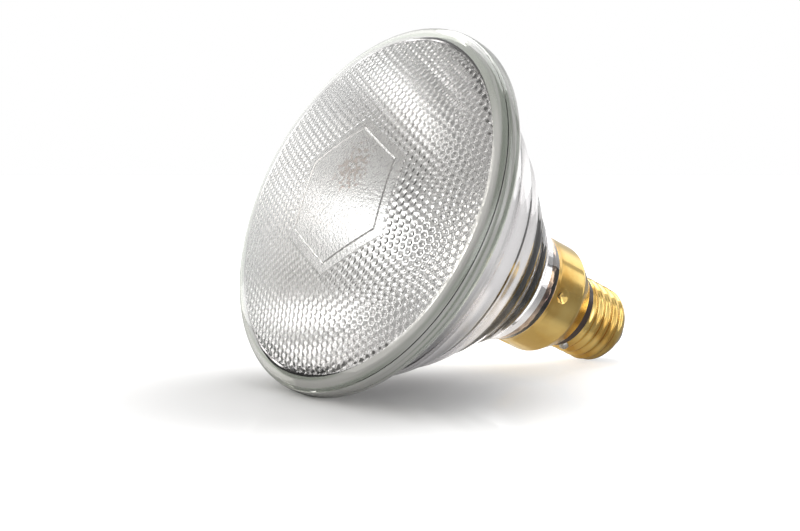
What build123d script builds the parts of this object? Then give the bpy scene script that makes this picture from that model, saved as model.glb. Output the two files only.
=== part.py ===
from build123d import *
from math import atan2, cos, degrees, radians, sin, sqrt
import os

os.makedirs("parts", exist_ok=True)

# The lamp stands on the crown of its lens. Its axis is +Z, from the crown at z 0 to the contact of the cap.
# Sizes are millimetres and angles are degrees from +X.
lamp_diameter = 121.0
overall_length = 131.0

# Pressed glass lens: a shallow dome with a rounded shoulder, which the seam to the reflector runs round
crown_radius = 172.0
shoulder_radius = 4.6
seam_angle = -29.6
seam_bevel = 0.3
lens_thickness = 3.2
lens_ledge = 0.56

# Six-sided window line moulded on the inside of the lens
window_circumradius = 22.0
window_angle = 12.5
window_line_width = 0.6
window_line_height = 0.3

# Pressed glass reflector: rim flange, ring steps between creases, a flare to the foot that the skirt
# stands on, neck, and a bowl with a flat floor
flange_length = 4.7
flange_rounding = 1.0
flange_step = 4.67
step_length = 1.2
crease_places = (0.153, 0.356, 0.525, 0.698, 0.839)
crease_depth = 0.45
ring_bulge = 0.3
flare_length = 27.0
flare_wall = 4.1
foot_slope = 0.25
rim_width = 5.44
bowl_floor_radius = 12.5
bowl_floor_depth = 11.15
bowl_floor_thickness = 4.5
neck_radius = 18.3
neck_wall = 3.8
neck_overlap = 10.0
neck_edge_rounding = 0.8
lead_hole_radius = 1.6

# Exhaust tube, sealed at its tip
exhaust_radius = 2.6
exhaust_bore_radius = 1.3
exhaust_length = 8.0

# Burner: posts, ferrules, bead, hooks and filament in one plane through the axis
mount_angle = 58.0
post_offset = 9.0
post_radius = 0.6
post_tip_rise = 1.0
post_tail = 1.2
ferrule_radius = 3.4
ferrule_wall = 0.4
ferrule_length = 6.0
ferrule_rounding = 1.2
filament_radius = 0.55
filament_sag = 1.8
filament_end_gap = 0.25
bead_radius = 1.5
bead_overhang = 1.4
bead_rounding = 0.9
hook_offset = 3.6
hook_radius = 0.25
hook_clearance = 0.1
hook_root = 0.3

# Cap, as lengths that follow each other from the skirt's front edge to the contact's solder
skirt_cylinder_length = 12.8
skirt_cone_length = 7.5
collar_length = 3.6
shell_straight_length = 17.0
shell_curl_length = 1.5
end_cone_length = 5.9
contact_thickness = 1.2
solder_height = 1.5

# Brass skirt, crimped on the neck by punched dimples
sheet = 0.5
neck_clearance = 0.2
skirt_flare = 0.3
skirt_flare_length = 1.5
skirt_lip_radius = 14.5
skirt_hole_radius = 11.0
skirt_roundings = (1.0, 2.4, 1.0)
dimple_count = 4
dimple_angle = -10.0
dimple_place = 4.0
dimple_radius = 1.9
dimple_depth = 0.9

# Ring that insulates the screw shell from the skirt
fit_clearance = 0.1
collar_radius = 13.0
collar_rounding = 0.5
disc_overhang = 2.5
disc_thickness = 2.0
spigot_height = 0.7
ring_bore_radius = 2.5

# Rolled screw shell, size E27
thread_major_radius = 13.2
thread_minor_radius = 12.1
thread_pitch = 3.62
thread_lead_in = 1.9
thread_run_out = 1.8
thread_foot_half_width = 1.15
thread_foot_depth = 0.15
shell_sheet = 0.4
shell_curl = 1.2
shell_rounding = 1.6

# Black glass end, contact, solder and lead wires
end_root_length = 3.2
end_taper = 5.3
end_rounding = 0.8
contact_overhang = 3.9
contact_rounding = 0.5
solder_radius = 3.4
wire_radius = 0.4
wire_clearance = 0.2
centre_wire_cover = 0.8
centre_wire_bend_starts = (5.5, 15.5)
centre_wire_bend_radius = 4.0
side_wire_place = 1.3
side_wire_bend_radius = 0.8
side_wire_cover = 0.4
side_solder_radius = 1.7
side_solder_sink = 0.7

# Heights along the axis
cap_length = (
    skirt_cylinder_length + skirt_cone_length + collar_length + shell_straight_length
    + shell_curl_length + end_cone_length + contact_thickness + solder_height
)
skirt_front_z = overall_length - cap_length
skirt_shoulder_z = skirt_front_z + skirt_cylinder_length
skirt_lip_z = skirt_shoulder_z + skirt_cone_length
shell_front_z = skirt_lip_z + collar_length
shell_curl_z = shell_front_z + shell_straight_length
shell_end_z = shell_curl_z + shell_curl_length
end_top_z = shell_end_z + end_cone_length
contact_top_z = end_top_z + contact_thickness
neck_end_z = skirt_front_z + neck_overlap
dimple_z = skirt_front_z + dimple_place
side_wire_z = shell_front_z + side_wire_place

mount_plane = Plane(
    origin=(0, 0, 0),
    x_dir=(cos(radians(mount_angle)), sin(radians(mount_angle)), 0),
    z_dir=(sin(radians(mount_angle)), -cos(radians(mount_angle)), 0),
)


def mount_point(offset, height):
    """Point of the burner's plane, at an offset from the lamp's axis."""
    return mount_plane.from_local_coords((offset, height, 0))


def dome_rise(dome_radius, radius):
    """Rise of a dome at a distance from its axis."""
    return dome_radius - sqrt(dome_radius**2 - radius**2)


def dome_radius_for(radius, rise):
    """Radius of the dome that rises by a given amount at a given distance from its axis."""
    return (radius**2 + rise**2) / (2 * rise)


def outer_radius(height):
    """Radius of the reflector's outside: a parabola, then a smooth flare to the foot's radius and slope."""
    if height <= flare_start_z:
        return sqrt(flare_start_radius**2 + outer_curve * (flare_start_z - height))
    length = foot_z - flare_start_z
    part = (height - flare_start_z) / length
    start_slope = -outer_curve / (2 * flare_start_radius)
    from_start = (1 - part) ** 2 * (flare_start_radius * (1 + 2 * part) + start_slope * length * part)
    to_foot = part**2 * (foot_radius * (3 - 2 * part) + foot_slope * length * (1 - part))
    return from_start + to_foot


def finish(piece, name):
    """Label a finished piece and write its file."""
    piece.part.label = name
    export_step(piece.part, f"parts/{name}.step")


# The shoulder's arc is tangent to the crown and to the lamp's largest diameter.
shoulder_centre_radius = lamp_diameter / 2 - shoulder_radius
shoulder_centre_z = crown_radius - sqrt((crown_radius - shoulder_radius) ** 2 - shoulder_centre_radius**2)
shoulder_start_angle = -degrees(atan2(crown_radius - shoulder_centre_z, shoulder_centre_radius))
bevel_angle = degrees(seam_bevel / shoulder_radius)


def shoulder_point(angle):
    """Point of the shoulder's arc at an angle from straight outwards."""
    outwards = shoulder_radius * cos(radians(angle))
    rise = shoulder_radius * sin(radians(angle))
    return (shoulder_centre_radius + outwards, shoulder_centre_z + rise)


def shoulder_arc(start_angle, end_angle):
    """Stretch of the shoulder's arc between two angles."""
    middle = shoulder_point((start_angle + end_angle) / 2)
    return ThreePointArc(shoulder_point(start_angle), middle, shoulder_point(end_angle))


seam_radius, seam_z = shoulder_point(seam_angle)
seam_radius -= seam_bevel

# The bowl's inside is a parabola: r squared = curve * (vertex - z).
bowl_mouth_radius = lamp_diameter / 2 - rim_width
bowl_floor_z = skirt_front_z - bowl_floor_depth
bowl_back_z = bowl_floor_z + bowl_floor_thickness
inner_curve = (bowl_mouth_radius**2 - bowl_floor_radius**2) / (bowl_floor_z - seam_z)
inner_vertex_z = bowl_floor_z + bowl_floor_radius**2 / inner_curve
bowl_control = (
    (bowl_mouth_radius + bowl_floor_radius) / 2,
    inner_vertex_z - bowl_mouth_radius * bowl_floor_radius / inner_curve,
)
flange_end_z = seam_z + flange_length
body_start = (lamp_diameter / 2 - flange_step, flange_end_z + step_length)
filament_z = inner_vertex_z - inner_curve / 4
bead_z = (filament_z + filament_radius + bowl_floor_z) / 2
hook_root_z = bead_z + hook_root
post_end_z = bowl_back_z + ferrule_length + post_tail

# The lens's inner face is a dome that meets the seam just inside the bowl's mouth.
lens_floor_radius = bowl_mouth_radius - lens_ledge
lens_inner_radius = dome_radius_for(lens_floor_radius, seam_z - lens_thickness)
skirt_radius = neck_radius + neck_clearance + sheet

# The outside keeps a wall of glass round the bowl as far as the flare, whose foot is as wide as the skirt.
flare_start_z = skirt_front_z - flare_length
flare_start_radius = sqrt(inner_curve * (inner_vertex_z - flare_start_z)) + flare_wall
outer_curve = (body_start[0] ** 2 - flare_start_radius**2) / (flare_start_z - body_start[1])
foot_z = skirt_front_z - neck_clearance
foot_radius = skirt_radius + skirt_flare


def crown_z(radius):
    """Height of the lens's outer face."""
    return dome_rise(crown_radius, radius)


def lens_inner_z(radius):
    """Height of the lens's inner face."""
    return lens_thickness + dome_rise(lens_inner_radius, radius)


# The window line is a thin shell under the inner face, cut to a six-sided ring.
with BuildPart() as window_line:
    with BuildSketch(Plane.XZ):
        with BuildLine():
            edge_radius = window_circumradius + window_line_width
            low = [(radius, lens_inner_z(radius)) for radius in (0, edge_radius / 2, edge_radius)]
            high = [(radius, height + window_line_height) for radius, height in low]
            ThreePointArc(*low)
            Line(low[2], high[2])
            ThreePointArc(*reversed(high))
            Line(high[0], low[0])
        make_face()
    revolve(axis=Axis.Z)
    with BuildSketch():
        RegularPolygon(window_circumradius, 6, rotation=window_angle)
        RegularPolygon(window_circumradius - window_line_width, 6, rotation=window_angle, mode=Mode.SUBTRACT)
    extrude(amount=seam_z, mode=Mode.INTERSECT)

with BuildPart() as lens:
    with BuildSketch(Plane.XZ):
        with BuildLine():
            crown_end = shoulder_point(shoulder_start_angle)
            floor_middle = (lens_floor_radius / 2, lens_inner_z(lens_floor_radius / 2))
            bevel_start = shoulder_point(seam_angle - bevel_angle)
            ThreePointArc((0, 0), (crown_end[0] / 2, crown_z(crown_end[0] / 2)), crown_end)
            shoulder_arc(shoulder_start_angle, seam_angle - bevel_angle)
            Polyline(bevel_start, (seam_radius, seam_z), (lens_floor_radius, seam_z))
            ThreePointArc((lens_floor_radius, seam_z), floor_middle, (0, lens_thickness))
            Line((0, lens_thickness), (0, 0))
        make_face()
    revolve(axis=Axis.Z)
    add(window_line.part)
finish(lens, "lens")

# Reflector: flange, rings of convex steps, hollow neck, and a parabolic bowl with a flat floor.
crease_heights = [body_start[1] + place * (foot_z - body_start[1]) for place in crease_places]
ring_edges = [body_start]
ring_edges += [(outer_radius(height) - crease_depth, height) for height in crease_heights]
ring_edges += [(foot_radius, foot_z)]
neck_bore_radius = neck_radius - neck_wall
dimple_ball = dome_radius_for(dimple_radius, dimple_depth)
dimple_centre_radius = skirt_radius - dimple_depth + dimple_ball

with BuildPart() as reflector:
    with BuildSketch(Plane.XZ):
        with BuildLine():
            flange_radius = lamp_diameter / 2
            bevel_end_angle = seam_angle + bevel_angle
            flange_corner = (flange_radius - flange_rounding, flange_end_z)
            corner_middle = flange_rounding * (1 - cos(radians(45)))
            Polyline((bowl_mouth_radius, seam_z), (seam_radius, seam_z), shoulder_point(bevel_end_angle))
            shoulder_arc(bevel_end_angle, 0)
            Line(shoulder_point(0), (flange_radius, flange_end_z - flange_rounding))
            ThreePointArc(
                (flange_radius, flange_end_z - flange_rounding),
                (flange_radius - corner_middle, flange_end_z - corner_middle),
                flange_corner,
            )
            Line(flange_corner, ring_edges[0])
            for start, end in zip(ring_edges, ring_edges[1:]):
                middle_z = (start[1] + end[1]) / 2
                ThreePointArc(start, (outer_radius(middle_z) + ring_bulge, middle_z), end)
            Polyline(
                ring_edges[-1],
                (neck_radius, foot_z),
                (neck_radius, neck_end_z - neck_edge_rounding),
                (neck_radius - neck_edge_rounding, neck_end_z),
                (neck_bore_radius, neck_end_z),
                (neck_bore_radius, bowl_back_z),
                (0, bowl_back_z),
                (0, bowl_floor_z),
                (bowl_floor_radius, bowl_floor_z),
            )
            Bezier((bowl_floor_radius, bowl_floor_z), bowl_control, (bowl_mouth_radius, seam_z))
        make_face()
    revolve(axis=Axis.Z)
    with BuildSketch(Plane.XY.offset(bowl_floor_z)):
        Circle(exhaust_bore_radius)
        with Locations(mount_point(-post_offset, 0), mount_point(post_offset, 0)):
            Circle(lead_hole_radius)
    extrude(amount=bowl_floor_thickness, mode=Mode.SUBTRACT)
    with Locations((0, 0, dimple_z)):
        with PolarLocations(dimple_centre_radius, dimple_count, start_angle=dimple_angle):
            Sphere(dimple_ball + sheet + neck_clearance, mode=Mode.SUBTRACT)
finish(reflector, "reflector")

with BuildPart() as exhaust_tube:
    with BuildSketch(Plane.XZ):
        with BuildLine():
            shoulder_z = bowl_back_z + exhaust_length - exhaust_radius
            tip_slope = cos(radians(45))
            inner_tip_z = shoulder_z + exhaust_bore_radius
            Line((exhaust_bore_radius, bowl_back_z), (exhaust_radius, bowl_back_z))
            Line((exhaust_radius, bowl_back_z), (exhaust_radius, shoulder_z))
            ThreePointArc(
                (exhaust_radius, shoulder_z),
                (exhaust_radius * tip_slope, shoulder_z + exhaust_radius * tip_slope),
                (0, shoulder_z + exhaust_radius),
            )
            Line((0, shoulder_z + exhaust_radius), (0, inner_tip_z))
            ThreePointArc(
                (0, inner_tip_z),
                (exhaust_bore_radius * tip_slope, shoulder_z + exhaust_bore_radius * tip_slope),
                (exhaust_bore_radius, shoulder_z),
            )
            Line((exhaust_bore_radius, shoulder_z), (exhaust_bore_radius, bowl_back_z))
        make_face()
    revolve(axis=Axis.Z)
finish(exhaust_tube, "exhaust_tube")


filament_reach = post_offset - post_radius - filament_end_gap
filament_arc_radius = dome_radius_for(filament_reach, filament_sag)


def filament_height(offset):
    """Height of the filament's arc at an offset from the lamp's axis."""
    return filament_z - filament_sag + dome_rise(filament_arc_radius, offset)


upwards = (Align.CENTER, Align.CENTER, Align.MIN)


def make_ferrule(side):
    """Metal cup over a lead hole, open to the glass, with the post brazed in its end."""
    with BuildPart(Plane(mount_point(side * post_offset, bowl_back_z))) as ferrule:
        Cylinder(ferrule_radius, ferrule_length, align=upwards)
        fillet(ferrule.edges().sort_by(Axis.Z)[-1], ferrule_rounding)
        offset(amount=-ferrule_wall, openings=ferrule.faces().sort_by(Axis.Z)[0])
        Cylinder(post_radius, ferrule_length, align=upwards, mode=Mode.SUBTRACT)
    return ferrule


def make_post(side):
    """Lead rod from behind its ferrule to the filament."""
    tip_z = filament_z - post_tip_rise
    with BuildPart(Plane(mount_point(side * post_offset, tip_z))) as post:
        Cylinder(post_radius, post_end_z - tip_z, align=upwards)
    return post


def make_hook(side):
    """Thin wire from the bead, bent round under the filament's coil."""
    bend = filament_radius + hook_radius + hook_clearance
    coil_z = filament_height(hook_offset)
    hook_plane = Plane(
        origin=mount_point(side * hook_offset, 0),
        x_dir=mount_plane.z_dir,
        z_dir=mount_plane.x_dir * -1,
    )
    with BuildPart() as hook:
        with BuildLine(hook_plane) as route:
            Line((bend, hook_root_z), (bend, coil_z))
            ThreePointArc((bend, coil_z), (0, coil_z - bend), (-bend, coil_z))
        with BuildSketch(Plane(origin=route.line @ 0, z_dir=route.line % 0)):
            Circle(hook_radius)
        sweep(path=route.line)
    return hook


pieces = {}
for side_name, side in (("left", -1), ("right", 1)):
    pieces[f"ferrule_{side_name}"] = make_ferrule(side)
    pieces[f"lead_post_{side_name}"] = make_post(side)
    pieces[f"filament_hook_{side_name}"] = make_hook(side)
for name, piece in pieces.items():
    finish(piece, name)

bead_length = 2 * (post_offset + bead_overhang)
with BuildPart() as mount_bead:
    with BuildSketch(Plane(origin=mount_point(-bead_length / 2, bead_z), z_dir=mount_plane.x_dir)):
        Circle(bead_radius)
    extrude(amount=bead_length)
    fillet(mount_bead.edges().filter_by(GeomType.CIRCLE), bead_rounding)
    for name in ("lead_post_left", "lead_post_right", "filament_hook_left", "filament_hook_right"):
        add(pieces[name].part, mode=Mode.SUBTRACT)
finish(mount_bead, "mount_bead")

with BuildPart() as filament:
    with BuildLine(mount_plane) as filament_route:
        ThreePointArc((-filament_reach, filament_z), (0, filament_height(0)), (filament_reach, filament_z))
    with BuildSketch(Plane(origin=filament_route.line @ 0, z_dir=filament_route.line % 0)):
        Circle(filament_radius)
    sweep(path=filament_route.line)
finish(filament, "filament")

# Skirt: one drawn brass sheet, with dimples punched in from outside.
with BuildPart() as dimple_bumps:
    with Locations((0, 0, dimple_z)):
        with PolarLocations(dimple_centre_radius, dimple_count, start_angle=dimple_angle):
            Sphere(dimple_ball + sheet)
    with Locations((0, 0, dimple_z)):
        Cylinder(skirt_radius - sheet / 2, 4 * dimple_ball, mode=Mode.INTERSECT)

with BuildPart() as skirt:
    with BuildSketch(Plane.XZ):
        with BuildLine():
            FilletPolyline(
                (skirt_radius + skirt_flare, skirt_front_z),
                (skirt_radius, skirt_front_z + skirt_flare_length),
                (skirt_radius, skirt_shoulder_z),
                (skirt_lip_radius, skirt_lip_z),
                (skirt_hole_radius, skirt_lip_z),
                radius=skirt_roundings,
            )
            offset(amount=sheet, side=Side.LEFT)
        make_face()
    revolve(axis=Axis.Z)
    add(dimple_bumps.part)
    with Locations((0, 0, dimple_z)):
        with PolarLocations(dimple_centre_radius, dimple_count, start_angle=dimple_angle):
            Sphere(dimple_ball, mode=Mode.SUBTRACT)
finish(skirt, "skirt")


def make_wire(points, bend_radii):
    """Lead wire along a route in the burner's plane."""
    with BuildPart() as wire:
        with BuildLine(mount_plane) as route:
            FilletPolyline(*points, radius=bend_radii)
        with BuildSketch(Plane(origin=route.line @ 0, z_dir=route.line % 0)):
            Circle(wire_radius)
        sweep(path=route.line)
    return wire


centre_lead_wire = make_wire(
    (
        (-post_offset, post_end_z),
        (-post_offset, post_end_z + centre_wire_bend_starts[0]),
        (0, post_end_z + centre_wire_bend_starts[1]),
        (0, overall_length - centre_wire_cover),
    ),
    centre_wire_bend_radius,
)
finish(centre_lead_wire, "centre_lead_wire")
side_wire_reach = thread_major_radius + side_wire_cover
side_lead_wire = make_wire(
    ((post_offset, post_end_z), (post_offset, side_wire_z), (side_wire_reach, side_wire_z)),
    side_wire_bend_radius,
)
finish(side_lead_wire, "side_lead_wire")

# The ring clamps the skirt's lip between a disc and a collar, and its spigot centres the shell.
shell_bore_radius = thread_minor_radius - shell_sheet
spigot_radius = shell_bore_radius - fit_clearance
inside_z = skirt_lip_z - sheet
with BuildPart() as skirt_insulator:
    with BuildSketch(Plane.XZ):
        with BuildLine():
            Polyline(
                (ring_bore_radius, inside_z - disc_thickness),
                (skirt_hole_radius + disc_overhang, inside_z - disc_thickness),
                (skirt_hole_radius + disc_overhang, inside_z),
                (skirt_hole_radius - fit_clearance, inside_z),
                (skirt_hole_radius - fit_clearance, skirt_lip_z),
                (collar_radius - collar_rounding, skirt_lip_z),
                (collar_radius, skirt_lip_z + collar_rounding),
                (collar_radius, shell_front_z),
                (spigot_radius, shell_front_z),
                (spigot_radius, shell_front_z + spigot_height),
                (ring_bore_radius, shell_front_z + spigot_height),
                close=True,
            )
        make_face()
    revolve(axis=Axis.Z)
    with BuildSketch(Plane.XY.offset(inside_z - disc_thickness)):
        with Locations(mount_point(post_offset, 0)):
            Circle(wire_radius + wire_clearance)
    extrude(until=Until.LAST, mode=Mode.SUBTRACT)
finish(skirt_insulator, "skirt_insulator")

# Screw shell: a rolled sheet with a rounded right-hand thread and a curled end.
thread_length = shell_straight_length - thread_lead_in - thread_run_out
shell_lip_radius = thread_minor_radius - shell_curl
with BuildPart() as screw_shell:
    with BuildSketch(Plane.XZ):
        with BuildLine():
            FilletPolyline(
                (thread_minor_radius, shell_front_z),
                (thread_minor_radius, shell_curl_z),
                (shell_lip_radius, shell_end_z),
                radius=shell_rounding,
            )
            offset(amount=shell_sheet, side=Side.LEFT)
        make_face()
    revolve(axis=Axis.Z)
    thread_route = Helix(
        pitch=thread_pitch,
        height=thread_length,
        radius=thread_minor_radius,
        center=(0, 0, shell_front_z + thread_lead_in),
        mode=Mode.PRIVATE,
    )
    with BuildSketch(Plane(origin=thread_route @ 0, x_dir=(1, 0, 0), z_dir=thread_route % 0)):
        with BuildLine():
            crest_height = thread_major_radius - thread_minor_radius
            foot = (-thread_foot_depth, thread_foot_half_width)
            ThreePointArc(foot, (crest_height, 0), (foot[0], -foot[1]))
            Line((foot[0], -foot[1]), foot)
        make_face()
    sweep(path=thread_route, is_frenet=True)
    with BuildSketch(Plane(origin=mount_point(spigot_radius, side_wire_z), z_dir=mount_plane.x_dir)):
        Circle(wire_radius + wire_clearance)
    extrude(amount=side_wire_reach - spigot_radius, mode=Mode.SUBTRACT)
finish(screw_shell, "screw_shell")

with BuildPart() as side_solder:
    with Locations(mount_point(thread_major_radius - side_solder_sink, side_wire_z)):
        Sphere(side_solder_radius)
    with Locations((0, 0, side_wire_z)):
        Cylinder(thread_minor_radius, 4 * side_solder_radius, mode=Mode.SUBTRACT)
    add(screw_shell.part, mode=Mode.SUBTRACT)
    add(skirt_insulator.part, mode=Mode.SUBTRACT)
    add(side_lead_wire.part, mode=Mode.SUBTRACT)
finish(side_solder, "side_solder")

end_bore_radius = wire_radius + wire_clearance
end_root_z = shell_curl_z - end_root_length
lip_bore_radius = shell_lip_radius - shell_sheet
end_shoulder_radius = shell_lip_radius - end_taper
with BuildPart() as end_insulator:
    with BuildSketch(Plane.XZ):
        with BuildLine():
            FilletPolyline(
                (end_bore_radius, end_root_z),
                (spigot_radius, end_root_z),
                (spigot_radius, shell_curl_z),
                (lip_bore_radius, shell_end_z),
                (end_shoulder_radius, end_top_z),
                (end_bore_radius, end_top_z),
                radius=(end_rounding, shell_rounding, end_rounding, end_rounding),
            )
            Line((end_bore_radius, end_top_z), (end_bore_radius, end_root_z))
        make_face()
    revolve(axis=Axis.Z)
    add(screw_shell.part, mode=Mode.SUBTRACT)
finish(end_insulator, "end_insulator")

with BuildPart() as centre_contact:
    with BuildSketch(Plane.XY.offset(end_top_z)):
        Circle(end_bore_radius + contact_overhang)
        Circle(end_bore_radius, mode=Mode.SUBTRACT)
    extrude(amount=contact_thickness)
    fillet(centre_contact.edges().group_by(Axis.Z)[-1].sort_by(SortBy.LENGTH)[-1], contact_rounding)
finish(centre_contact, "centre_contact")

solder_ball = dome_radius_for(solder_radius, solder_height)
with BuildPart() as centre_solder:
    with BuildSketch(Plane.XZ):
        with BuildLine():
            middle_radius = solder_radius / 2
            middle_z = overall_length - dome_rise(solder_ball, middle_radius)
            Polyline((0, overall_length), (0, contact_top_z), (solder_radius, contact_top_z))
            ThreePointArc((solder_radius, contact_top_z), (middle_radius, middle_z), (0, overall_length))
        make_face()
    revolve(axis=Axis.Z)
    add(centre_lead_wire.part, mode=Mode.SUBTRACT)
finish(centre_solder, "centre_solder")
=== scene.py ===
from math import asin, atan2, cos, pi, radians, sin, sqrt

import bmesh
import bpy
from mathutils import Matrix, Vector
from mathutils.geometry import delaunay_2d_cdt


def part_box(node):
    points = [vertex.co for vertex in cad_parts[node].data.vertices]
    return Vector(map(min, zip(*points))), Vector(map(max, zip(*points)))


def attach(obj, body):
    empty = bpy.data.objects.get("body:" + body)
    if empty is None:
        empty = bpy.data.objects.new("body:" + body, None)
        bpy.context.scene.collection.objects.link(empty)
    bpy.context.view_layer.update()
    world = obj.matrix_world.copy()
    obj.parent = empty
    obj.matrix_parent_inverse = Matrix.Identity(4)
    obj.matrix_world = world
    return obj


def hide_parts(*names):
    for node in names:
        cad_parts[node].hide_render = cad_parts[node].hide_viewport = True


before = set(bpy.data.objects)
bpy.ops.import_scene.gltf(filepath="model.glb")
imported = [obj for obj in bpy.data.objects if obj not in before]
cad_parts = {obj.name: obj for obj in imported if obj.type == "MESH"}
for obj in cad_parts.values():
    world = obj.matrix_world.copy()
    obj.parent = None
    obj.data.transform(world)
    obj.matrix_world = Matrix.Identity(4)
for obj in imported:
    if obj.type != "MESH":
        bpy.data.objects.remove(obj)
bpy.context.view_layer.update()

# Camera: the photograph looks at the lens from low in front, with the lamp lying on its rim and its screw
# shell. The lamp's own frame stands it on its lens, so the camera and the floor are tilted to suit.
mm = 0.001
rim_touch = Vector((60.5 * mm, 0, 15.9 * mm))
thread_touch = Vector((13.2 * mm, 0, 120.2 * mm))
rest_azimuth = radians(76.6)
lean = atan2(rim_touch.x - thread_touch.x, thread_touch.z - rim_touch.z)
floor_up = -Vector((cos(lean) * cos(rest_azimuth), cos(lean) * sin(rest_azimuth), sin(lean)))
camera_place = Vector((431.06, 0, -286.22)) * mm
camera_aim = Vector((-2.28, 11.68, 35.78)) * mm
focal_length = 76.94
sensor_width = 36.0

camera_data = bpy.data.cameras.new("camera")
camera_data.lens = focal_length
camera_data.sensor_width = sensor_width
camera_data.clip_end = 20
camera = bpy.data.objects.new("camera", camera_data)
bpy.context.collection.objects.link(camera)
view_forward = (camera_aim - camera_place).normalized()
view_right = view_forward.cross(floor_up).normalized()
view_up = view_right.cross(view_forward)
camera_turn = Matrix((view_right, view_up, -view_forward)).transposed()
camera.matrix_world = Matrix.Translation(camera_place) @ camera_turn.to_4x4()
bpy.context.scene.camera = camera


# Lens: a pressed glass dome, smooth and clear outside. Its inside is moulded with close rows of round bumps
# around a plain six-sided window with a fine line, and its edge is fused to the reflector.
lens_crown_radius = 172 * mm
lens_shoulder_radius = 4.6 * mm
lens_thickness = 3.2 * mm
lens_floor_radius = 54.5 * mm
seam_bevel = 0.3 * mm
seam_gap = 0.02 * mm
bump_pitch = 2.6 * mm
bump_height = 0.57 * mm
bump_edge_radius = 54.0 * mm
bump_steps = 6
row_angle = radians(12.5)
window_radius = 22 * mm
window_line_width = 0.5 * mm
window_line_height = 0.32 * mm
window_border_radius = 26 * mm
hexagon_flat = cos(radians(30))
# Painted reflection: brown specks in the lens window stand in for the cap and neck seen through it.
painted_reflection_place = Vector((-0.8, -8.5, 3.2)) * mm
painted_reflection_radius = 9.5 * mm
painted_reflection_colour = (0.38, 0.26, 0.20)
glass_index = 1.47


class Flow:
    """One output of a node. Sums written on it add the nodes that work them out."""

    def __init__(self, tree, socket=None):
        self.tree = tree
        self.socket = socket

    def node(self, kind, settings=None, inputs=None, output=0):
        """Add a node, make its settings, then fill its sockets with numbers or with other outputs."""
        made = self.tree.nodes.new(kind)
        for key, value in (settings or {}).items():
            setattr(made, key, value)
        for key, value in (inputs or {}).items():
            if isinstance(value, Flow):
                self.tree.links.new(value.socket, made.inputs[key])
            else:
                made.inputs[key].default_value = value
        return Flow(self.tree, made.outputs[output] if made.outputs else None)

    def maths(self, operation, *values):
        return self.node("ShaderNodeMath", {"operation": operation}, dict(enumerate(values)))

    def __add__(self, other):
        return self.maths("ADD", self, other)

    def __radd__(self, other):
        return self.maths("ADD", other, self)

    def __sub__(self, other):
        return self.maths("SUBTRACT", self, other)

    def __rsub__(self, other):
        return self.maths("SUBTRACT", other, self)

    def __mul__(self, other):
        return self.maths("MULTIPLY", self, other)

    def __rmul__(self, other):
        return self.maths("MULTIPLY", other, self)

    def __truediv__(self, other):
        return self.maths("DIVIDE", self, other)

    def __pow__(self, other):
        return self.maths("POWER", self, other)

    def __abs__(self):
        return self.maths("ABSOLUTE", self)

    def cosine(self):
        return self.maths("COSINE", self)

    def most(self, other):
        return self.maths("MAXIMUM", self, other)

    def ease(self, low, high):
        """0 below low, 1 above high, and smooth between them."""
        return self.node(
            "ShaderNodeMapRange",
            {"interpolation_type": "SMOOTHSTEP"},
            {"Value": self, "From Min": low, "From Max": high},
        )

    def vector_maths(self, operation, other, output=0):
        return self.node("ShaderNodeVectorMath", {"operation": operation}, {0: self, 1: other}, output)

    def along(self, direction):
        """How far this place or direction reaches along a given direction."""
        return self.vector_maths("DOT_PRODUCT", direction, "Value")

    def away_from(self, point):
        """Distance of this place from a point."""
        return self.vector_maths("DISTANCE", point, "Value")


def row_distances(position):
    """Distances of a point from the middle lines of the three sets of bump rows."""
    turns = [row_angle + radians(angle) for angle in (30, 90, 150)]
    return [position.along((cos(turn), sin(turn), 0)) for turn in turns]


def corner_radius(distances):
    """Corner radius of the hexagon on which a point lies, from its distances from the rows."""
    first, second, third = (abs(distance) for distance in distances)
    return first.most(second).most(third) / hexagon_flat


def new_material(name):
    """Empty node material and the flow that its nodes start from."""
    material = bpy.data.materials.new(name)
    material.use_nodes = True
    material.node_tree.nodes.clear()
    return material, Flow(material.node_tree)


def finish_material(start, inputs):
    """Principled surface of a material, from numbers and flows."""
    surface = start.node("ShaderNodeBsdfPrincipled", None, inputs)
    start.node("ShaderNodeOutputMaterial", None, {"Surface": surface})


def object_place(start):
    return start.node("ShaderNodeTexCoord", output="Object")


def noise(place, scale, detail=2.0, stretch=(1, 1, 1)):
    """Noise of a given size over a surface, 0 to 1."""
    stretched = place.node("ShaderNodeMapping", None, {"Vector": place, "Scale": stretch})
    return place.node("ShaderNodeTexNoise", None, {"Vector": stretched, "Scale": scale, "Detail": detail})


def raised(height, distance):
    """Normal of a surface whose relief is a flow from 0 to 1, at a given depth in metres."""
    return height.node("ShaderNodeBump", None, {"Height": height, "Distance": distance, "Strength": 1.0})


def tinted(factor, low, high):
    """Mix of two colours."""
    low, high = (colour if isinstance(colour, Flow) else (*colour, 1) for colour in (low, high))
    return factor.node("ShaderNodeMixRGB", None, {"Fac": factor, "Color1": low, "Color2": high})


def pressed_glass(name, pale, deep):
    """Clear pressed glass with the faint flow marks of the mould."""
    material, start = new_material(name)
    place = object_place(start)
    waves = noise(place, 45, 1.0)
    finish_material(start, {
        "Base Color": tinted(noise(place, 12), deep, pale),
        "Roughness": waves * 0.02,
        "IOR": glass_index,
        "Transmission Weight": 1.0,
        "Normal": raised(waves, 0.03 * mm),
    })
    return material


def fused_seam():
    """Where the two glasses are fused there is no surface, and light goes straight on."""
    material, start = new_material("fused_seam")
    clear = start.node("ShaderNodeBsdfTransparent")
    start.node("ShaderNodeOutputMaterial", None, {"Surface": clear})
    return material


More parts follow.
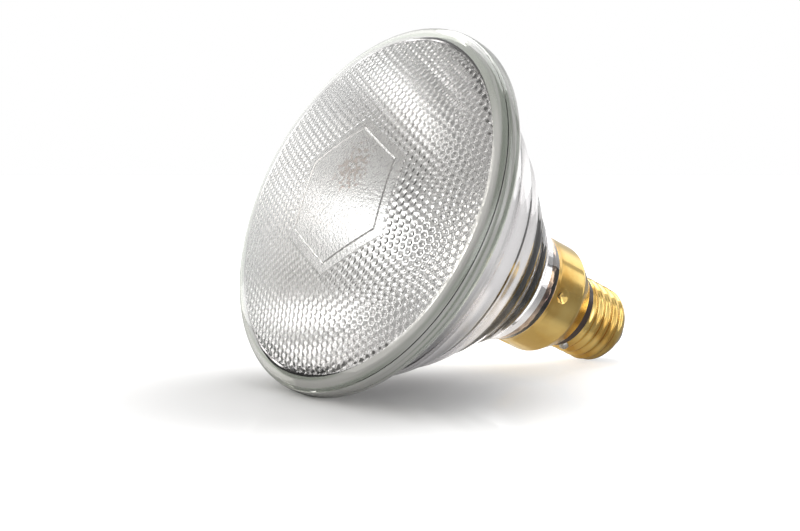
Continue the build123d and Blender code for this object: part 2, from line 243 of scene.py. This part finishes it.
def rim_glass(name):
    """Thick glass of the rim: pale green, a little milky, with a smooth skin."""
    material, start = new_material(name)
    place = object_place(start)
    waves = noise(place, 45, 1.0)
    layers = noise(place, 45, 1.0, (0.3, 0.3, 20))
    finish_material(start, {
        "Base Color": tinted(layers.ease(0.36, 0.56), (0.58, 0.635, 0.54), (1.0, 1.0, 0.955)),
        "Roughness": waves * 0.04 + 0.01,
        "IOR": glass_index,
        "Transmission Weight": 0.68,
        "Coat Weight": 0.8,
        "Normal": raised(waves, 0.03 * mm),
    })
    return material


def stippled_glass(name):
    """Inside of the lens: bright bumps, and a window and border with a fine grain. Brown specks in the
    window's grain, thickest near one spot in its middle, are a painted reflection of the cap and neck behind
    it."""
    material, start = new_material(name)
    place = object_place(start)
    hexagon = corner_radius(row_distances(place))
    window = 1 - hexagon.ease(window_border_radius - 0.5 * mm, window_border_radius)
    grain = noise(place, 1200, 2.0)
    line = 1 - abs(hexagon - window_radius).ease(0.254 * mm, 0.577 * mm)
    # Painted reflection of the cap and neck: brown specks in the window, thickest near one spot.
    sparse = (place.away_from(painted_reflection_place) / painted_reflection_radius) ** 1.5 * 0.22
    reflection_specks = noise(place, 620, 3.0).ease(sparse + 0.36, sparse + 0.5) * window
    glass = tinted(reflection_specks, tinted(noise(place, 12), (0.97, 0.985, 0.975), (1, 1, 1)), painted_reflection_colour)
    finish_material(start, {
        # The fine line round the window is tinted near black: painted shade for the dark edge of the moulded
        # rib.
        "Base Color": tinted(line, glass, (0.12, 0.12, 0.12)),
        "Roughness": window * 0.03,
        "IOR": glass_index,
        "Transmission Weight": 1.0,
        "Normal": raised(grain * window, 0.27 * mm),
    })
    return material


def arc_points(centre, radius, start_angle, end_angle, steps):
    """Points along an arc of an outline."""
    turns = [start_angle + (end_angle - start_angle) * step / steps for step in range(steps + 1)]
    return [(centre[0] + radius * cos(turn), centre[1] + radius * sin(turn)) for turn in turns]


def dome_rise(radius, distance):
    return radius - sqrt(radius**2 - distance**2)


def new_object(name, mesh):
    piece = bpy.data.objects.new(name, mesh)
    bpy.context.collection.objects.link(piece)
    return piece


def smooth_mesh(mesh):
    """Smooth shading, with corners over 35 degrees left sharp."""
    mesh.polygons.foreach_set("use_smooth", [True] * len(mesh.polygons))
    mesh.set_sharp_from_angle(angle=radians(35))


# Zones of the glass, in the order of the materials on the lens and the reflector.
OUTSIDE, INSIDE, RIM, FUSED, NECK = range(5)
seam_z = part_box("lens")[1][2]
rim_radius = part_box("reflector")[1][0]
shoulder_centre_radius = rim_radius - lens_shoulder_radius
shoulder_centre_z = lens_crown_radius - sqrt(
    (lens_crown_radius - lens_shoulder_radius) ** 2 - shoulder_centre_radius**2
)
shoulder_start = -atan2(lens_crown_radius - shoulder_centre_z, shoulder_centre_radius)
seam_angle = asin((seam_z - seam_bevel - shoulder_centre_z) / lens_shoulder_radius)
lens_inner_radius = (lens_floor_radius**2 + (seam_z - lens_thickness) ** 2) / (2 * (seam_z - lens_thickness))


def lens_inner_z(distance):
    return lens_thickness + dome_rise(lens_inner_radius, distance)


def lens_mesh():
    """Closed lens: turned outside and seam, and an inner face of small triangles that follow the rows."""
    shoulder = arc_points(
        (shoulder_centre_radius, shoulder_centre_z), lens_shoulder_radius, shoulder_start, seam_angle, 10
    )
    crown_steps = 40
    crown_radii = [shoulder[0][0] * step / crown_steps for step in range(1, crown_steps)]
    crown = [(radius, dome_rise(lens_crown_radius, radius)) for radius in crown_radii]
    seam = [(shoulder[-1][0] - seam_bevel, seam_z - seam_gap), (lens_floor_radius, seam_z - seam_gap)]
    outline = crown + shoulder + seam
    zones = [OUTSIDE] * (len(crown) - 1) + [RIM] * len(shoulder) + [RIM, FUSED]
    segments = 288
    build = bmesh.new()
    rings = []
    for radius, height in outline:
        turns = [2 * pi * segment / segments for segment in range(segments)]
        rings.append([build.verts.new((radius * cos(turn), radius * sin(turn), height)) for turn in turns])
    crown_point = build.verts.new((0, 0, 0))
    for segment in range(segments):
        after = (segment + 1) % segments
        build.faces.new((crown_point, rings[0][after], rings[0][segment]))
        for zone, inner, outer in zip(zones, rings, rings[1:]):
            face = build.faces.new((inner[segment], inner[after], outer[after], outer[segment]))
            face.material_index = zone
    step = bump_pitch / bump_steps
    along = Vector((cos(row_angle), sin(row_angle))) * step
    across = Vector((cos(row_angle + pi / 3), sin(row_angle + pi / 3))) * step
    reach = int(lens_floor_radius / step / hexagon_flat) + 1
    grid = [
        i * along + j * across
        for i in range(-reach, reach + 1)
        for j in range(-reach, reach + 1)
    ]
    grid = [point for point in grid if point.length < lens_floor_radius - 0.7 * step]
    edge = [Vector((vertex.co.x, vertex.co.y)) for vertex in rings[-1]]
    points, _, triangles, origins, _, _ = delaunay_2d_cdt(
        edge + grid, [(i, (i + 1) % segments) for i in range(segments)], [], 1, 1e-9
    )
    inner = []
    for point, origin in zip(points, origins):
        if origin and origin[0] < segments:
            inner.append(rings[-1][origin[0]])
        else:
            inner.append(build.verts.new((point.x, point.y, lens_inner_z(point.length))))
    for corners in triangles:
        face = build.faces.new([inner[corner] for corner in corners])
        face.material_index = INSIDE
    bmesh.ops.recalc_face_normals(build, faces=build.faces)
    mesh = bpy.data.meshes.new("lens_glass")
    build.to_mesh(mesh)
    build.free()
    for material in lens_materials:
        mesh.materials.append(material)
    return mesh


def node_tree(name, inputs):
    """Geometry tree with a geometry socket and named number inputs."""
    tree = bpy.data.node_groups.new(name, "GeometryNodeTree")
    tree.interface.new_socket("Geometry", in_out="INPUT", socket_type="NodeSocketGeometry")
    for label, value in inputs.items():
        socket = tree.interface.new_socket(label, in_out="INPUT", socket_type="NodeSocketFloat")
        socket.default_value = value
    tree.interface.new_socket("Geometry", in_out="OUTPUT", socket_type="NodeSocketGeometry")
    entry = tree.nodes.new("NodeGroupInput")
    return tree, {socket.name: Flow(tree, socket) for socket in entry.outputs if socket.name}


def grown(name, mesh, tree, values):
    """Mesh that a geometry tree makes of a plain mesh."""
    source = new_object(name, mesh)
    modifier = source.modifiers.new(name, "NODES")
    modifier.node_group = tree
    for item in tree.interface.items_tree:
        if item.in_out == "INPUT" and item.name in values:
            modifier[item.identifier] = values[item.name]
    evaluated = source.evaluated_get(bpy.context.evaluated_depsgraph_get())
    result = bpy.data.meshes.new_from_object(evaluated)
    bpy.data.objects.remove(source)
    return result


row_sizes = {
    "Bump Pitch": bump_pitch,
    "Bump Height": bump_height,
    "Field Radius": bump_edge_radius,
    "Border Radius": window_border_radius,
    "Window Radius": window_radius,
    "Line Width": window_line_width,
    "Line Height": window_line_height,
}


def bump_rows_tree(material):
    """Raise round bumps in three sets of rows, outside a six-sided window that has a fine line round it."""
    tree, given = node_tree("bump_rows", row_sizes)
    start = given["Geometry"]
    place = start.node("GeometryNodeInputPosition")
    distances = row_distances(place)
    rows = [(distance * (2 * pi / hexagon_flat) / given["Bump Pitch"]).cosine() for distance in distances]
    bump = ((rows[0] + rows[1] + rows[2] + 1.5) / 4.5) ** 0.8
    hexagon = corner_radius(distances)
    from_axis = place.vector_maths("MULTIPLY", (1, 1, 0)).away_from((0, 0, 0))
    field = (hexagon - given["Border Radius"]).ease(-0.2 * mm, 0.5 * mm)
    field = field * (1 - (from_axis - given["Field Radius"]).ease(-0.1 * mm, 0.5 * mm))
    line = 1 - (abs(hexagon - given["Window Radius"]) / given["Line Width"]).ease(0.2, 0.7)
    rise = bump * field * given["Bump Height"] + line * given["Line Height"]
    offset = start.node("ShaderNodeCombineXYZ", None, {"Z": rise})
    zone = start.node("GeometryNodeInputMaterialIndex")
    inside = start.maths("COMPARE", zone, float(INSIDE), 0.5)
    raised_face = start.node(
        "GeometryNodeSetPosition", None, {"Geometry": start, "Selection": inside, "Offset": offset}
    )
    whole = start.node("GeometryNodeRealizeInstances", None, {"Geometry": raised_face})
    whole = start.node(
        "GeometryNodeSetMaterial", None, {"Geometry": whole, "Selection": inside, "Material": material}
    )
    start.node("NodeGroupOutput", None, {"Geometry": whole})
    return tree


lens_materials = [
    pressed_glass("lens_outside", (1, 1, 1), (0.985, 0.995, 0.988)),
    stippled_glass("lens_inside"),
    rim_glass("lens_rim"),
    fused_seam(),
]
bumped_mesh = grown("lens_rows", lens_mesh(), bump_rows_tree(lens_materials[INSIDE]), row_sizes)
smooth_mesh(bumped_mesh)
lens_glass = new_object("lens_glass", bumped_mesh)
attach(lens_glass, "root")
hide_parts("lens")


# Reflector: thick pressed glass with a rim flange, rounded ring steps and a flare down to the skirt. A film
# of silver lies on the bowl's inside, so the outside is a mirror seen through the glass.
flange_length = 4.7 * mm
flange_rounding = 1.0 * mm
flange_step = 4.67 * mm
step_length = 1.2 * mm
crease_places = (0.153, 0.356, 0.525, 0.698, 0.839)
crease_depth = 0.45 * mm
ring_bulge = 0.3 * mm
flare_length = 27.0 * mm
flare_wall = 4.1 * mm
foot_slope = 0.25
foot_gap = 0.2 * mm
foot_overhang = 1.0 * mm
rim_width = 5.44 * mm
bowl_floor_radius = 12.5 * mm
bowl_floor_depth = 11.15 * mm
bowl_floor_thickness = 4.5 * mm
neck_radius = 18.3 * mm
neck_wall = 3.8 * mm
neck_edge = 0.8 * mm
brown_film_length = 3.5 * mm


def turned_mesh(name, outline, segments, shape=None, zones=None):
    """Closed solid turned about the axis from a closed outline of radius and height, listed anticlockwise.
    shape moves each point, and zones gives each band of faces its material."""
    build = bmesh.new()
    turns = [2 * pi * segment / segments for segment in range(segments)]
    rings = []
    for radius, height in outline:
        if radius < 1e-7:
            rings.append([build.verts.new((0, 0, height))] * segments)
            continue
        ring = []
        for turn in turns:
            reach = shape(turn, radius, height) if shape else radius
            ring.append(build.verts.new((reach * cos(turn), reach * sin(turn), height)))
        rings.append(ring)
    for band, (lower, upper) in enumerate(zip(rings, rings[1:] + rings[:1])):
        for segment in range(segments):
            after = (segment + 1) % segments
            corners = [lower[segment], lower[after], upper[after], upper[segment]]
            corners = [corner for place, corner in enumerate(corners) if corner not in corners[:place]]
            if len(corners) > 2:
                face = build.faces.new(corners)
                face.material_index = zones[band] if zones else 0
    mesh = bpy.data.meshes.new(name)
    build.to_mesh(mesh)
    build.free()
    smooth_mesh(mesh)
    return mesh


def metal_film(name, colour, deep, scale=60, relief=0.09 * mm):
    """Evaporated metal on glass, with an unevenness of a given scale and depth."""
    material, start = new_material(name)
    place = object_place(start)
    unevenness = noise(place, scale, 2.0)
    finish_material(start, {
        "Base Color": tinted(unevenness.ease(0.3, 0.7), deep, colour),
        "Metallic": 1.0,
        "Roughness": unevenness * 0.04 + 0.04,
        "Normal": raised(unevenness, relief),
    })
    return material


neck_end_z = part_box("reflector")[1][2]
skirt_front_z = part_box("skirt")[0][2]
flange_end_z = seam_z + flange_length
body_start = (rim_radius - flange_step, flange_end_z + step_length)
bowl_mouth_radius = rim_radius - rim_width
bowl_floor_z = skirt_front_z - bowl_floor_depth
bowl_back_z = bowl_floor_z + bowl_floor_thickness
inner_curve = (bowl_mouth_radius**2 - bowl_floor_radius**2) / (bowl_floor_z - seam_z)
inner_vertex_z = bowl_floor_z + bowl_floor_radius**2 / inner_curve
flare_start_z = skirt_front_z - flare_length
flare_start_radius = sqrt(inner_curve * (inner_vertex_z - flare_start_z)) + flare_wall
outer_curve = (body_start[0] ** 2 - flare_start_radius**2) / (flare_start_z - body_start[1])
foot_z = skirt_front_z - foot_gap
foot_radius = neck_radius + foot_overhang


def outer_radius(height):
    """Radius of the reflector's outside: a parabola, then a smooth flare to the foot's radius and slope."""
    if height <= flare_start_z:
        return sqrt(flare_start_radius**2 + outer_curve * (flare_start_z - height))
    length = foot_z - flare_start_z
    part = (height - flare_start_z) / length
    start_slope = -outer_curve / (2 * flare_start_radius)
    from_start = (1 - part) ** 2 * (flare_start_radius * (1 + 2 * part) + start_slope * length * part)
    to_foot = part**2 * (foot_radius * (3 - 2 * part) + foot_slope * length * (1 - part))
    return from_start + to_foot


def ring_outline():
    """Outside of the bowl from the flange to the foot, one bulging ring between each two creases."""
    heights = [body_start[1] + place * (foot_z - body_start[1]) for place in crease_places]
    edges = [body_start]
    edges += [(outer_radius(height) - crease_depth, height) for height in heights]
    edges += [(foot_radius, foot_z)]
    points = [edges[0]]
    steps = 14
    for (start_radius, start_z), (end_radius, end_z) in zip(edges, edges[1:]):
        bulge = outer_radius((start_z + end_z) / 2) + ring_bulge - (start_radius + end_radius) / 2
        for step in range(1, steps + 1):
            part = step / steps
            straight = start_radius + part * (end_radius - start_radius)
            points.append((straight + bulge * sin(pi * part) ** 1.2, start_z + part * (end_z - start_z)))
    return points


def reflector_outline():
    """Outline of the reflector, and the material of each of its stretches."""
    seam_end = asin((seam_z + seam_bevel - shoulder_centre_z) / lens_shoulder_radius)
    seam_edge_radius = shoulder_centre_radius + lens_shoulder_radius * cos(seam_end) - seam_bevel
    outline = [(bowl_mouth_radius, seam_z), (seam_edge_radius, seam_z)]
    outline += arc_points((shoulder_centre_radius, shoulder_centre_z), lens_shoulder_radius, seam_end, 0, 6)
    outline += arc_points(
        (rim_radius - flange_rounding, flange_end_z - flange_rounding), flange_rounding, 0, pi / 2, 6
    )
    rim_bands = len(outline) - 1
    outline += ring_outline()
    bore_radius = neck_radius - neck_wall
    outline += [
        (neck_radius, foot_z),
        (neck_radius, neck_end_z - neck_edge),
        (neck_radius - neck_edge, neck_end_z),
        (bore_radius, neck_end_z),
    ]
    glass_bands = len(outline) - 1
    outline += [(bore_radius, foot_z - brown_film_length), (bore_radius, bowl_back_z), (0, bowl_back_z)]
    outline += [(0, bowl_floor_z), (bowl_floor_radius * 0.5, bowl_floor_z), (bowl_floor_radius, bowl_floor_z)]
    steps = 48
    for step in range(1, steps):
        radius = bowl_floor_radius + (bowl_mouth_radius - bowl_floor_radius) * step / steps
        outline.append((radius, inner_vertex_z - radius**2 / inner_curve))
    zones = [FUSED] + [RIM] * rim_bands + [OUTSIDE] * (glass_bands - rim_bands - 1) + [NECK]
    return outline, zones + [INSIDE] * (len(outline) - len(zones))


outline, zones = reflector_outline()
reflector_glass = new_object("reflector_glass", turned_mesh("reflector_glass", outline, 288, zones=zones))
for material in (
    pressed_glass("reflector_outside", (0.985, 0.98, 0.985), (0.965, 0.96, 0.97)),
    metal_film("silver_film", (0.945, 0.935, 0.93), (0.90, 0.885, 0.885)),
    rim_glass("reflector_rim"),
    lens_materials[FUSED],
    metal_film("neck_film", (0.62, 0.46, 0.33), (0.11, 0.06, 0.055), 170, 0.5 * mm),
):
    reflector_glass.data.materials.append(material)
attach(reflector_glass, "root")
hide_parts("reflector")


# Skirt: one sheet of brass, drawn to a cup with a coned end and crimped on the neck by four round punch
# marks. It is lightly tarnished, with fine lines round it from the drawing.
skirt_sheet = 0.5 * mm
skirt_radius = 19.0 * mm
skirt_flare = 0.3 * mm
skirt_flare_length = 1.5 * mm
skirt_cylinder_length = 12.8 * mm
skirt_bend = 1.0 * mm
skirt_shoulder_rounding = 2.4 * mm
skirt_lip_radius = 14.5 * mm
skirt_hole_radius = 11.0 * mm
skirt_facet = 0.33 * mm
dimple_count = 4
dimple_angle = radians(-10)
dimple_place = 4.0 * mm
dimple_radius = 2.375 * mm
dimple_depth = 0.9 * mm


def rounded(points, radii):
    """Open outline with its inner corners rounded to the given radii."""
    steps = 8
    path = [points[0]]
    for before, corner, after, radius in zip(points, points[1:], points[2:], radii):
        before, corner, after = Vector(before), Vector(corner), Vector(after)
        back, ahead = (before - corner).normalized(), (after - corner).normalized()
        half = back.angle(ahead) / 2
        cut = radius * cos(half) / sin(half)
        start, end = corner + back * cut, corner + ahead * cut
        centre = corner + (back + ahead).normalized() * radius / sin(half)
        for step in range(steps + 1):
            reach = (start + (end - start) * step / steps - centre).normalized() * radius
            path.append(tuple(centre + reach))
    path.append(points[-1])
    return path


def thickened(path, thickness):
    """Closed outline of a sheet, from its outer side and its thickness to the left of the way it is drawn."""
    path = [Vector(point) for point in path]
    inner = []
    for place, point in enumerate(path):
        way = (path[min(place + 1, len(path) - 1)] - path[max(place - 1, 0)]).normalized()
        inner.append(point + Vector((-way.y, way.x)) * thickness)
    return [tuple(point) for point in path + inner[::-1]]


def divided(path, longest):
    """Outline with its long runs cut into shorter ones."""
    points = []
    for start, end in zip(path, path[1:] + path[:1]):
        start, end = Vector(start), Vector(end)
        parts = max(1, round((end - start).length / longest))
        points += [tuple(start.lerp(end, part / parts)) for part in range(parts)]
    return points


def punched(turn, radius, height):
    """Radius of the skirt's sheet where the punch marks dent it."""
    nearest = (turn - dimple_angle + pi / dimple_count) % (2 * pi / dimple_count) - pi / dimple_count
    away = sqrt((nearest * skirt_radius) ** 2 + (height - skirt_front_z - dimple_place) ** 2)
    if away > dimple_radius or radius < skirt_radius - 2 * skirt_sheet:
        return radius
    return radius - dimple_depth * (1 - (away / dimple_radius) ** 2) ** 0.8


def sheet_brass(name, stain_scale, low=0.09, high=0.2):
    """Drawn brass: golden, with brown stains of tarnish and fine lines round the axis."""
    material, start = new_material(name)
    place = object_place(start)
    stain = noise(place, stain_scale, 4.0)
    lines = noise(place, 900, 2.0, (0.08, 0.08, 3.0))
    worn = stain.ease(0.42, 0.72)
    finish_material(start, {
        "Base Color": tinted(worn, (0.92, 0.67, 0.24), (0.74, 0.44, 0.11)),
        "Metallic": 1.0,
        "Roughness": worn * (high - low) + low,
        "Normal": raised(lines, 0.012 * mm),
    })
    return material


skirt_low, skirt_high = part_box("skirt")
skirt_path = rounded([
    (skirt_radius + skirt_flare, skirt_low[2]),
    (skirt_radius, skirt_low[2] + skirt_flare_length),
    (skirt_radius, skirt_low[2] + skirt_cylinder_length),
    (skirt_lip_radius, skirt_high[2]),
    (skirt_hole_radius, skirt_high[2]),
], (skirt_bend, skirt_shoulder_rounding, skirt_bend))
skirt_outline = divided(thickened(skirt_path, skirt_sheet), skirt_facet)
brass_skirt = new_object("brass_skirt", turned_mesh("brass_skirt", skirt_outline, 360, shape=punched))
brass_skirt.data.materials.append(sheet_brass("skirt_brass", 70))
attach(brass_skirt, "root")
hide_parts("skirt")


# Insulating ring: a dark brown glazed ring that holds the skirt's lip and keeps the screw shell apart from
# it. It is moulded and its skin is slightly uneven.
def dark_glaze(name, colour, deep, rough):
    """Dark glazed or glassy skin."""
    material, start = new_material(name)
    place = object_place(start)
    cloud = noise(place, 150, 3.0)
    finish_material(start, {
        "Base Color": tinted(cloud, deep, colour),
        "Roughness": cloud * 0.15 + rough,
        "Coat Weight": 0.4,
        "Normal": raised(cloud, 0.04 * mm),
    })
    return material


def refinish(node, material):
    """Give a node of the frame its finish."""
    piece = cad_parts[node]
    piece.data.materials.clear()
    piece.data.materials.append(material)


refinish("skirt_insulator", dark_glaze("insulator_glaze", (0.045, 0.022, 0.014), (0.016, 0.009, 0.007), 0.25))


# Screw shell: brass sheet rolled to the rounded thread of an E27 cap, right-handed, with its end curled over
# the black glass. The side wire is soldered to it at the front.
thread_major_radius = 13.2 * mm
thread_minor_radius = 12.4 * mm
thread_pitch = 3.62 * mm
thread_lead_in = 1.9 * mm
thread_fade = 1.0 * mm
shell_sheet = 0.4 * mm
shell_straight_length = 17.0 * mm
shell_curl = 1.2 * mm
shell_rounding = 1.6 * mm
shell_facet = 0.22 * mm
shell_low, shell_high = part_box("screw_shell")
thread_sizes = {
    "Pitch": thread_pitch,
    "Depth": thread_major_radius - thread_minor_radius,
    "Start": shell_low[2] + thread_lead_in - thread_fade,
    "End": shell_low[2] + shell_straight_length - thread_fade,
    "Crest": shell_low[2] + thread_lead_in,
}


def rolled_thread_tree(material):
    """Push a plain tube out along a right-hand helix, with round crests and round grooves."""
    tree, given = node_tree("rolled_thread", thread_sizes)
    start = given["Geometry"]
    place = start.node("GeometryNodeInputPosition")
    x, y, z = (place.node("ShaderNodeSeparateXYZ", None, {"Vector": place}, axis) for axis in "XYZ")
    turn = place.maths("ARCTAN2", y, x) / (2 * pi)
    wave = ((z - given["Crest"]) / given["Pitch"] - turn) * (2 * pi)
    crest = wave.cosine() * 0.5 + 0.5
    full = (z - given["Start"]).ease(-1.2 * mm, 0.9 * mm)
    full = full * (1 - (z - given["End"]).ease(-1.2 * mm, 1.0 * mm))
    outwards = place.vector_maths("MULTIPLY", (1, 1, 0))
    outwards = place.node("ShaderNodeVectorMath", {"operation": "NORMALIZE"}, {0: outwards})
    offset = place.node(
        "ShaderNodeVectorMath", {"operation": "SCALE"}, {0: outwards, "Scale": crest * full * given["Depth"]}
    )
    pushed = start.node("GeometryNodeSetPosition", None, {"Geometry": start, "Offset": offset})
    whole = start.node("GeometryNodeRealizeInstances", None, {"Geometry": pushed})
    whole = start.node("GeometryNodeSetMaterial", None, {"Geometry": whole, "Material": material})
    start.node("NodeGroupOutput", None, {"Geometry": whole})
    return tree


shell_path = rounded([
    (thread_minor_radius, shell_low[2]),
    (thread_minor_radius, shell_low[2] + shell_straight_length),
    (thread_minor_radius - shell_curl, shell_high[2]),
], (shell_rounding,))
shell_outline = divided(thickened(shell_path, shell_sheet), shell_facet)
plain_shell = turned_mesh("screw_brass", shell_outline, 240)
thread_tree = rolled_thread_tree(sheet_brass("screw_brass", 110, 0.1, 0.2))
threaded_mesh = grown("thread_rows", plain_shell, thread_tree, thread_sizes)
smooth_mesh(threaded_mesh)
screw_brass = new_object("screw_brass", threaded_mesh)
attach(screw_brass, "root")
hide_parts("screw_shell")


# Solder: tin, melted on in two spots. One holds the side wire at the front of the screw shell, and the
# other holds the centre wire at the contact. Both set dull and a little lumpy.
def dull_metal(name, colour, deep, rough, scale):
    """Metal with a soft, uneven skin."""
    material, start = new_material(name)
    place = object_place(start)
    cloud = noise(place, scale, 3.0)
    finish_material(start, {
        "Base Color": tinted(cloud, deep, colour),
        "Metallic": 1.0,
        "Roughness": cloud * 0.2 + rough,
        "Normal": raised(cloud, 0.06 * mm),
    })
    return material


tin = dull_metal("solder_tin", (0.66, 0.65, 0.63), (0.45, 0.44, 0.42), 0.3, 700)
refinish("side_solder", tin)
refinish("centre_solder", tin)


# End of the cap: black glass, poured hot into the curled end of the shell, keeps the two poles apart. The
# contact is a small plate of brass, set in the glass at the tip.
refinish("end_insulator", dark_glaze("end_glass", (0.020, 0.020, 0.023), (0.008, 0.008, 0.010), 0.1))
refinish("centre_contact", sheet_brass("contact_brass", 300))


# Burner: nickel-plated posts are brazed in metal cups, which are sealed over holes in the bowl. A glass bead
# bridges the posts, and tungsten hooks hold the coiled filament. A glass tube at the back was drawn off and
# sealed when the lamp was filled, and two plated wires run on to the cap.
nickel = dull_metal("nickel_plate", (0.62, 0.60, 0.57), (0.50, 0.48, 0.46), 0.22, 400)
tungsten = dull_metal("tungsten_wire", (0.24, 0.24, 0.25), (0.13, 0.13, 0.14), 0.35, 900)
for side in ("left", "right"):
    refinish("ferrule_" + side, nickel)
    refinish("lead_post_" + side, nickel)
    refinish("filament_hook_" + side, tungsten)
refinish("filament", tungsten)
for node in ("centre_lead_wire", "side_lead_wire"):
    refinish(node, nickel)
drawn_glass = pressed_glass("drawn_glass", (0.97, 0.985, 0.975), (0.93, 0.96, 0.95))
for node in ("mount_bead", "exhaust_tube"):
    refinish(node, drawn_glass)


# Floor: a smooth white sheet under the rim and the screw shell, seen only from its upper side, with a faint
# gloss that mirrors the lamp. It glows a little of itself away from the rim, so that it goes to white, and
# glows more behind the rim for rays seen through the glass: painted light. Mirrored light finds it painted
# darker, except in a painted pool of light under the skirt.
floor_size = 3.0
rest_turn = Matrix.Rotation(rest_azimuth, 3, "Z")
rim_point, thread_point = rest_turn @ rim_touch, rest_turn @ thread_touch
light_pool_radius = 26 * mm
light_pool_place = 0.74
light_pool_middle = rim_point.lerp(thread_point, light_pool_place)
level_back = floor_up.cross(view_right)
floor_mesh = bpy.data.meshes.new("floor")
floor_right, floor_deep = view_right * floor_size / 2, level_back * floor_size / 2
corner_signs = ((-1, -1), (1, -1), (1, 1), (-1, 1))
corners = [rim_point + across * floor_right + deep * floor_deep for across, deep in corner_signs]
floor_mesh.from_pydata(corners, [], [(0, 1, 2, 3)])
floor = new_object("floor", floor_mesh)
if floor_mesh.polygons[0].normal.dot(floor_up) < 0:
    floor_mesh.flip_normals()
material, start = new_material("floor_white")
place = object_place(start)
glossy_ray = start.node("ShaderNodeLightPath", output="Is Glossy Ray")
glass_ray = start.node("ShaderNodeLightPath", output="Is Transmission Ray")
outside_light_pool = place.away_from(light_pool_middle).ease(light_pool_radius * 0.8, light_pool_radius * 1.5)
# Painted shade and a painted pool of light: seen in mirrors the floor is darker, except under the skirt.
white = 0.72 - 0.58 * glossy_ray * outside_light_pool
off_rim = place.away_from(rim_point).ease(30 * mm, 115 * mm)
behind = (place.along(level_back) - rim_point.dot(level_back)).ease(-20 * mm, 40 * mm)
# Painted light: the floor glows away from the rim, and behind the rim for rays through the glass.
own_light = (0.02 + 0.55 * off_rim) * (1 - 0.85 * glossy_ray) + (0.06 + 0.44 * behind) * glass_ray
shade = start.node("ShaderNodeCombineColor", None, dict.fromkeys(("Red", "Green", "Blue"), white))
paint = start.node("ShaderNodeBsdfDiffuse", None, {"Color": shade})
gloss = start.node("ShaderNodeBsdfGlossy", None, {"Color": (1, 1, 1, 1), "Roughness": 0.05})
lift = start.node("ShaderNodeEmission", None, {"Color": (1, 1, 1, 1), "Strength": own_light})
sheet = start.node("ShaderNodeMixShader", None, {0: 0.07, 1: paint, 2: gloss})
lit = start.node("ShaderNodeAddShader", None, {0: sheet, 1: lift})
clear = start.node("ShaderNodeBsdfTransparent")
back = start.node("ShaderNodeNewGeometry", output="Backfacing")
seen = start.node("ShaderNodeMixShader", None, {0: back, 1: lit, 2: clear})
start.node("ShaderNodeOutputMaterial", None, {"Surface": seen})
floor_mesh.materials.append(material)


# Light: a white studio. Soft round cards and sharp upright strips, lighter or darker than the rest, stand
# round the lamp for its glass and brass to mirror. One large soft lamp hangs above and behind it.
world = bpy.data.worlds.new("studio")
bpy.context.scene.world = world
world.use_nodes = True
world.node_tree.nodes.clear()
start = Flow(world.node_tree)
way = start.node("ShaderNodeTexCoord", output="Generated")


def card(azimuth, elevation, start_angle, end_angle):
    """A soft-edged round card in the sky. Its azimuth is from the camera's side, towards the right."""
    azimuth, elevation = radians(azimuth), radians(elevation)
    flat = -level_back * cos(azimuth) + view_right * sin(azimuth)
    middle = flat * cos(elevation) + floor_up * sin(elevation)
    return way.along(middle).ease(cos(radians(end_angle)), cos(radians(start_angle)))


def strip(azimuth, half_width, top):
    """A sharp-edged upright card that stands on the floor, up to a given elevation."""
    azimuth, edge, top = radians(azimuth), sin(radians(half_width)), sin(radians(top))
    ahead = way.along(-level_back * cos(azimuth) + view_right * sin(azimuth)).ease(0, 0.05)
    aside = abs(way.along(level_back * sin(azimuth) + view_right * cos(azimuth)))
    above = way.along(floor_up).ease(top - 0.02, top + 0.02)
    return ahead * (1 - aside.ease(edge - 0.01, edge + 0.01)) * (1 - above)


studio = 0.92 + 0.4 * card(150, 5, 25, 75) + 1.2 * card(-100, 25, 20, 60) + 1.9 * card(0, 20, 8, 22)
studio = studio * (1 - 0.92 * card(-38, 16, 8, 21)) * (1 - 0.65 * card(-17, 47, 12, 30))
studio = studio * (1 - 0.25 * card(60, 62, 15, 40)) * (1 - 0.55 * card(172, 22, 10, 30))
studio = (studio + 1.2 * strip(66, 9, 55)) * (1 - 0.7 * strip(88, 8, 60)) * (1 - 0.6 * strip(118, 4, 45))
warm = card(-90, 20, 15, 50)
tint = start.node(
    "ShaderNodeCombineColor", None, {"Red": 1.0, "Green": 1 - 0.03 * warm, "Blue": 1 - 0.08 * warm}
)
camera_ray, glossy_ray, glass_ray = (
    start.node("ShaderNodeLightPath", output=ray)
    for ray in ("Is Camera Ray", "Is Glossy Ray", "Is Transmission Ray")
)
mirrored = glossy_ray.most(glass_ray)
level = studio * (0.85 + 0.15 * mirrored) * (1 - camera_ray) + camera_ray
sky = start.node("ShaderNodeBackground", None, {"Color": tint, "Strength": level})
start.node("ShaderNodeOutputWorld", None, {"Surface": sky})

lamp_data = bpy.data.lights.new("softbox", "AREA")
lamp_data.shape = "RECTANGLE"
lamp_data.size = 0.9
lamp_data.size_y = 0.6
lamp_data.energy = 4.0
lamp = bpy.data.objects.new("softbox", lamp_data)
bpy.context.collection.objects.link(lamp)
lamp_place = floor_up * 0.8 + level_back * 0.45 + view_right * 0.1
lamp.location = lamp_place
lamp.rotation_euler = (-lamp_place).to_track_quat("-Z", "Y").to_euler()

bpy.context.scene.view_settings.view_transform = "Standard"
